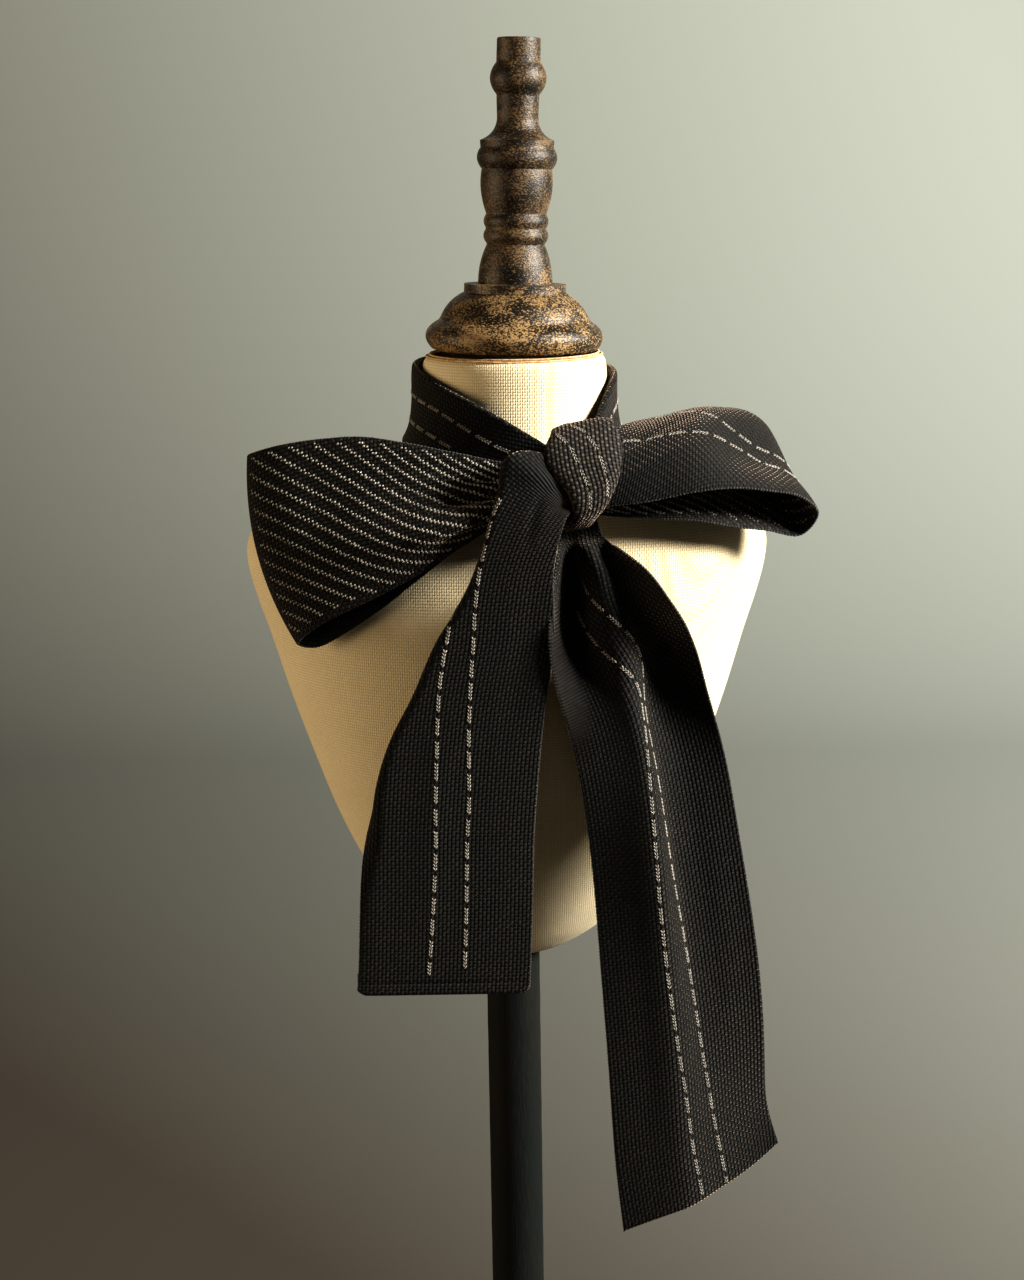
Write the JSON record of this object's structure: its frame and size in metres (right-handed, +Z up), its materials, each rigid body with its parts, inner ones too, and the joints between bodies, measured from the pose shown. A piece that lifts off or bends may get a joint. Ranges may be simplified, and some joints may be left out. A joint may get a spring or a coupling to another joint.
{
  "type": "knit tie in a bow on a limbless display bust with a wooden stand",
  "caption": "Knitted tie folded round the neck of a small canvas display bust and tied in a loose bow, with two hanging tails, on a turned wooden stand.",
  "frame": {"origin": "centre of the base's underside, on the pole's axis", "axes": "+Z up the pole; the bust's front and the bow face -Y; +X is to the viewer's right"},
  "size_m": [0.2189, 0.1762, 0.6014],
  "materials": {
    "black_knit": "dark textured knit with thin pale dashed lines, matt",
    "canvas": "plain-woven natural canvas, matt",
    "worn_wood": "dark weathered turned wood"
  },
  "bodies": {
    "root": {"neck_band": "black_knit", "knot_wrap": "black_knit", "left_loop": "black_knit", "right_loop": "black_knit", "left_tail": "black_knit", "right_tail": "black_knit", "bust": "canvas", "finial": "worn_wood", "pole": "worn_wood", "base": "worn_wood"}
  },
  "joints": []
}
